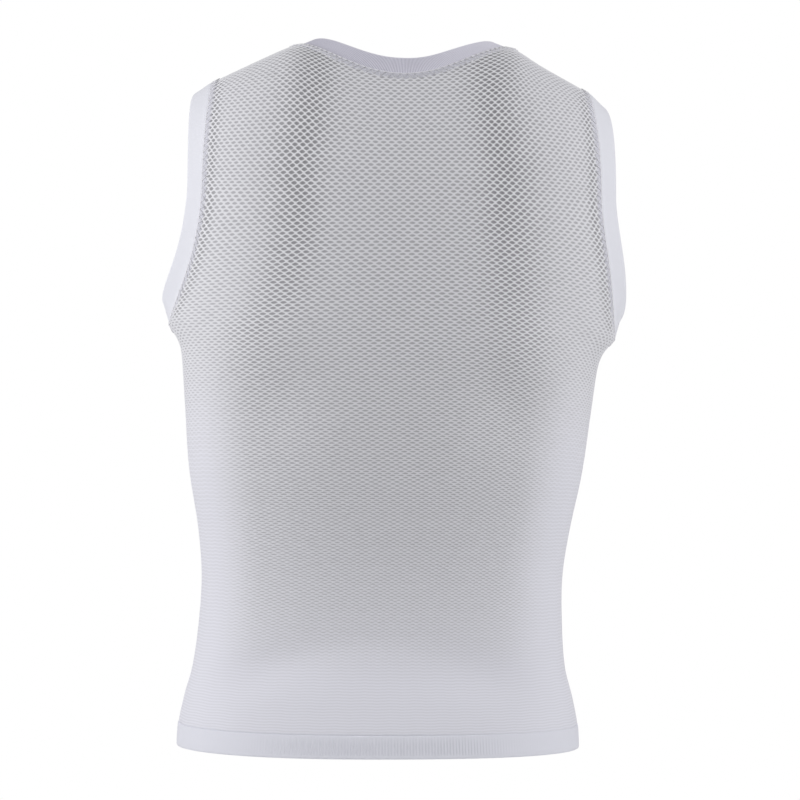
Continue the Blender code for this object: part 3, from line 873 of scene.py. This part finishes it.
def knit_grain_group():
    """Fine loops of yarn by the cloth's own millimetres, with a little unevenness."""
    group = bpy.data.node_groups.new("knit_grain", "ShaderNodeTree")
    sockets = group.interface
    sockets.new_socket("Cloth", in_out="INPUT", socket_type="NodeSocketVector")
    for name, value in GRAIN_INPUTS:
        socket = sockets.new_socket(name, in_out="INPUT", socket_type="NodeSocketFloat")
        socket.default_value = value
    sockets.new_socket("Height", in_out="OUTPUT", socket_type="NodeSocketFloat")
    sockets.new_socket("Shade", in_out="OUTPUT", socket_type="NodeSocketFloat")
    nodes, links = group.nodes, group.links
    given, out = nodes.new("NodeGroupInput"), nodes.new("NodeGroupOutput")
    split = nodes.new("ShaderNodeSeparateXYZ")
    links.new(given.outputs["Cloth"], split.inputs[0])
    maths = maths_in(nodes, links)

    def loops(coordinate, pitch):
        turns = maths("DIVIDE", coordinate, maths("MULTIPLY", pitch, MM / (2 * math.pi)))
        return maths("SINE", turns)

    across = loops(split.outputs["X"], given.outputs["Wale"])
    up = loops(split.outputs["Y"], given.outputs["Course"])
    loop = maths("MULTIPLY", across, up)
    ribbed = maths("MULTIPLY", maths("SUBTRACT", across, loop), given.outputs["Rib"])
    weave = maths("MULTIPLY", maths("ADD", maths("ADD", loop, ribbed), 1.0), 0.5)
    noise = nodes.new("ShaderNodeTexNoise")
    noise.inputs["Scale"].default_value = GRAIN_SCALE
    noise.inputs["Detail"].default_value = GRAIN_DETAIL
    links.new(given.outputs["Cloth"], noise.inputs["Vector"])
    uneven = maths("MULTIPLY", noise.outputs["Fac"], given.outputs["Unevenness"])
    links.new(maths("ADD", weave, uneven), out.inputs["Height"])
    # Painted shade for the gaps between loops and, by the Rib input, the valleys between ribs.
    depth = maths("ADD", maths("MULTIPLY", given.outputs["Rib"], RIB_SHADE), LOOP_SHADE)
    shade = maths("SUBTRACT", 1.0, maths("MULTIPLY", maths("SUBTRACT", 1.0, weave), depth))
    shade = maths("SUBTRACT", shade, maths("MULTIPLY", uneven, UNEVEN_SHADE))
    links.new(shade, out.inputs["Shade"])
    return group


def knit_finish(name, grain):
    """A matt knit of white yarn, by its row of YARNS."""
    yarn = dict(zip(YARN_COLUMNS, YARNS[name]))
    made = bpy.data.materials.new(name)
    made.use_nodes = True
    nodes, links = made.node_tree.nodes, made.node_tree.links
    shader = nodes["Principled BSDF"]
    shader.inputs["Roughness"].default_value = yarn["roughness"]
    shader.inputs["Sheen Weight"].default_value = yarn["sheen"]
    shader.inputs["Sheen Roughness"].default_value = YARN_SHEEN_SPREAD
    shader.inputs["Specular IOR Level"].default_value = YARN_SPECULAR
    place = nodes.new("ShaderNodeUVMap")
    place.uv_map = "cloth_mm"
    knit = nodes.new("ShaderNodeGroup")
    knit.node_tree = grain
    knit.inputs["Wale"].default_value = yarn["wale"]
    knit.inputs["Course"].default_value = yarn["course"]
    links.new(place.outputs["UV"], knit.inputs["Cloth"])
    strength = nodes.new("ShaderNodeUVMap")
    strength.uv_map = "strength"
    split = nodes.new("ShaderNodeSeparateXYZ")
    links.new(strength.outputs["UV"], split.inputs[0])
    links.new(split.outputs["X"], knit.inputs["Rib"])
    # The yarn's colour turns to painted shade in the gaps between loops and the valleys between
    # ribs.
    ramp = nodes.new("ShaderNodeMix")
    ramp.data_type = "RGBA"
    ramp.inputs[6].default_value = (*yarn["painted_shade"], 1.0)
    ramp.inputs[7].default_value = (*yarn["light"], 1.0)
    links.new(knit.outputs["Shade"], ramp.inputs["Factor"])
    links.new(ramp.outputs[2], shader.inputs["Base Color"])
    relief = nodes.new("ShaderNodeBump")
    relief.inputs["Strength"].default_value = yarn["bump"]
    relief.inputs["Distance"].default_value = YARN_RELIEF * MM
    links.new(knit.outputs["Height"], relief.inputs["Height"])
    links.new(relief.outputs["Normal"], shader.inputs["Normal"])
    return made


def net_finish_of(name, plain, strand, taut, eyelet_painted_shade, sheer_eyelet_painted_shade, side_eyelet_painted_shade, roughness, sheen):
    """The mesh knit's yarn: light strands round the eyelets, whose sunk floors are coloured with
    painted shade.
    """
    made = bpy.data.materials.new(name)
    made.use_nodes = True
    nodes, links = made.node_tree.nodes, made.node_tree.links
    shader = nodes["Principled BSDF"]
    shader.inputs["Roughness"].default_value = roughness
    shader.inputs["Sheen Weight"].default_value = sheen
    shader.inputs["Specular IOR Level"].default_value = YARN_SPECULAR
    maths = maths_in(nodes, links)

    def blend(share, a, b):
        node = nodes.new("ShaderNodeMix")
        node.data_type = "RGBA"
        links.new(share, node.inputs["Factor"])
        for socket, value in ((node.inputs[6], a), (node.inputs[7], b)):
            if isinstance(value, tuple):
                socket.default_value = (*value, 1.0)
            else:
                links.new(value, socket)
        return node.outputs[2]

    def mapped(layer):
        place = nodes.new("ShaderNodeUVMap")
        place.uv_map = layer
        split = nodes.new("ShaderNodeSeparateXYZ")
        links.new(place.outputs["UV"], split.inputs[0])
        return split.outputs["X"], split.outputs["Y"]

    def off_centre(value):
        shifted = maths("ADD", value, EYE_SHADE_OFFSET + 0.5)
        return maths("SUBTRACT", maths("FRACT", shifted), 0.5)

    one_way, other_way = mapped("lattice")
    stretch_and_shade, relief = mapped("strength")
    along, against = off_centre(one_way), off_centre(other_way)
    across = maths("DIVIDE", maths("ADD", along, against), EYE_SHADE_WIDE)
    tall = maths("ADD", EYE_SHADE_HIGH, maths("MULTIPLY", stretch_and_shade, EYE_SHADE_SHEER))
    up = maths("DIVIDE", maths("ABSOLUTE", maths("SUBTRACT", along, against)), tall)
    lens = maths("ADD", maths("MULTIPLY", across, across), up)
    eye = nodes.new("ShaderNodeMapRange")
    eye.interpolation_type = "SMOOTHSTEP"
    links.new(lens, eye.inputs["Value"])
    eye.inputs["From Min"].default_value = EYE_SHADE_FULL
    eye.inputs["From Max"].default_value = EYE_SHADE_NONE
    eye.inputs["To Min"].default_value = 1.0
    eye.inputs["To Max"].default_value = 0.0
    depth = maths("MULTIPLY", eye.outputs["Result"], relief)
    # Where the net fades out, its courses are left as fine level lines of painted shade.
    course = maths("SUBTRACT", one_way, other_way)
    wave = maths("MULTIPLY", maths("SINE", maths("ADD", one_way, other_way)), PLAIN_LINES_WAVE)
    line = maths("SINE", maths("MULTIPLY", maths("ADD", course, wave), math.pi))
    line = maths("MULTIPLY", maths("ADD", maths("MULTIPLY", line, 0.5), 0.5), PLAIN_LINE_SHADE)
    depth = maths("ADD", depth, maths("MULTIPLY", line, maths("SUBTRACT", 1.0, relief)))
    # The eyelets' floors take painted shade: darker where the knit is sheer, lighter at the sides.
    shade = blend(stretch_and_shade, eyelet_painted_shade, sheer_eyelet_painted_shade)
    shade = blend(maths("MULTIPLY", stretch_and_shade, -1.0), shade, side_eyelet_painted_shade)
    yarn = blend(relief, plain, blend(stretch_and_shade, strand, taut))
    links.new(blend(depth, yarn, shade), shader.inputs["Base Color"])
    return made


# ---- the garment ----

grain = knit_grain_group()
net_finish = net_finish_of(
    "net_yarn",
    plain=(0.80, 0.80, 0.875),
    strand=(0.79, 0.79, 0.83),
    taut=(0.87, 0.87, 0.91),
    # The eyelets' floors are painted shade, darker in the sheer bands and lighter at the sides.
    eyelet_painted_shade=(0.45, 0.445, 0.475),
    sheer_eyelet_painted_shade=(0.28, 0.278, 0.295),
    side_eyelet_painted_shade=(0.53, 0.525, 0.565),
    roughness=0.85,
    sheen=0.15,
)
neck_finish = knit_finish("neck_rib", grain)
hem_finish = knit_finish("hem_rib", grain)
band_finish = knit_finish("smooth_band", grain)
tape_finish = knit_finish("seam_tape_painted_shade", grain)
thread_finish = knit_finish("stitch_thread", grain)

for panel in ("back", "front"):
    net = build_net(panel, net_finish)
    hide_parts(panel)
    width, length, area = panel_size(panel)

neck_seam = Seam(neck_places, neck_leads, NECK_RIB / RIB_STEPS)
neck_band = build_band(
    "neck_rib_band",
    neck_seam,
    folded(NECK_BAND_WIDTH, 1.0),
    NECK_RIB_DEEP,
    ribs_across(neck_seam.share, NECK_RIB_AT_SIDES, NECK_RIB_FADE_FROM, NECK_RIB_FADE_OVER),
    neck_finish,
)
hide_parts("neck_band")
neck_tape = build_tape("neck", neck_seam, tape_finish)
neck_stitches = build_stitches("neck", neck_seam, thread_finish)

for side, word in ((1, "left"), (-1, "right")):
    seam = Seam(armhole_places(side), arm_leads(side), ARM_BAND_STEP, under_arm=FLARE)
    band = build_band(
        f"armhole_{word}_folded_band",
        seam,
        folded(ARM_BAND_WIDTH, 0.0),
        0.0,
        np.ones(seam.count),
        band_finish,
    )
    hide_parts(f"armhole_band_{word}")
    tape = build_tape(f"armhole_{word}", seam, tape_finish)
    stitches = build_stitches(f"armhole_{word}", seam, thread_finish)

hem_band, hem_length = build_hem(hem_finish)
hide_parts("hem_band")

# ---- the studio, in metres ----

CAMERA_AWAY, CAMERA_Z = 2.7, -0.308
FILM, LENS = 36.0, 138.07  # millimetres
SURROUND = 0.405  # how strongly the white surround lights the cloth
FLOOR_HALF, FLOOR_Z = 1.3, -0.95
LAMP_COLUMNS = ("name", "place", "aim", "size", "power")
LAMPS = (
    ("left_softbox", (1.55, 0.35, 0.17), (0.0, 0.0, -0.15), (0.8, 0.6), 11.3),
    ("right_softbox", (-1.55, 0.35, 0.17), (0.0, 0.0, -0.15), (0.8, 0.6), 8.8),
    ("top_softbox", (0.0, 1.7, 1.1), (0.0, 0.0, -0.35), (1.6, 1.0), 9.2),
    ("front_fill", (0.0, -2.2, 0.4), (0.0, 0.0, -0.3), (1.6, 1.6), 12.0),
)


def add_softbox(name, place, aim, size, power):
    """A rectangular lamp that looks from its place to its aim."""
    lamp = bpy.data.lights.new(name, "AREA")
    lamp.shape = "RECTANGLE"
    lamp.size, lamp.size_y = size
    lamp.energy = power
    box = bpy.data.objects.new(name, lamp)
    bpy.context.scene.collection.objects.link(box)
    box.location = place
    way = np.array(aim) - np.array(place)
    box.rotation_euler = (
        math.atan2(math.hypot(way[0], way[1]), -way[2]),
        0.0,
        math.atan2(way[1], way[0]) - math.pi / 2,
    )


camera = bpy.data.objects.new("camera", bpy.data.cameras.new("camera"))
bpy.context.scene.collection.objects.link(camera)
camera.location = (0.0, CAMERA_AWAY, CAMERA_Z)
camera.rotation_euler = (math.radians(90.0), 0.0, math.radians(180.0))
camera.data.sensor_width = FILM
camera.data.lens = LENS
bpy.context.scene.camera = camera

for row in LAMPS:
    add_softbox(**dict(zip(LAMP_COLUMNS, row)))

world = bpy.data.worlds.new("studio")
world.use_nodes = True
world_nodes, world_links = world.node_tree.nodes, world.node_tree.links
seen = world_nodes.new("ShaderNodeLightPath")
strength = world_nodes.new("ShaderNodeMapRange")
world_links.new(seen.outputs["Is Camera Ray"], strength.inputs["Value"])
strength.inputs["To Min"].default_value = SURROUND
strength.inputs["To Max"].default_value = 1.0
world_nodes["Background"].inputs["Color"].default_value = (1.0, 1.0, 1.0, 1.0)
world_links.new(strength.outputs["Result"], world_nodes["Background"].inputs["Strength"])
bpy.context.scene.world = world
bpy.context.scene.view_settings.view_transform = "Standard"

floor_material = bpy.data.materials.new("pale_floor")
floor_material.use_nodes = True
floor_shader = floor_material.node_tree.nodes["Principled BSDF"]
floor_shader.inputs["Base Color"].default_value = (0.9, 0.9, 0.9, 1.0)
floor_shader.inputs["Roughness"].default_value = 0.9
floor_corners = []
for x, y in ((-1, -1), (1, -1), (1, 1), (-1, 1)):
    floor_corners.append((x * FLOOR_HALF, y * FLOOR_HALF, FLOOR_Z))
floor_mesh = bpy.data.meshes.new("floor")
floor_mesh.from_pydata(floor_corners, [], [(0, 1, 2, 3)])
floor_mesh.materials.append(floor_material)
floor = bpy.data.objects.new("floor", floor_mesh)
bpy.context.scene.collection.objects.link(floor)
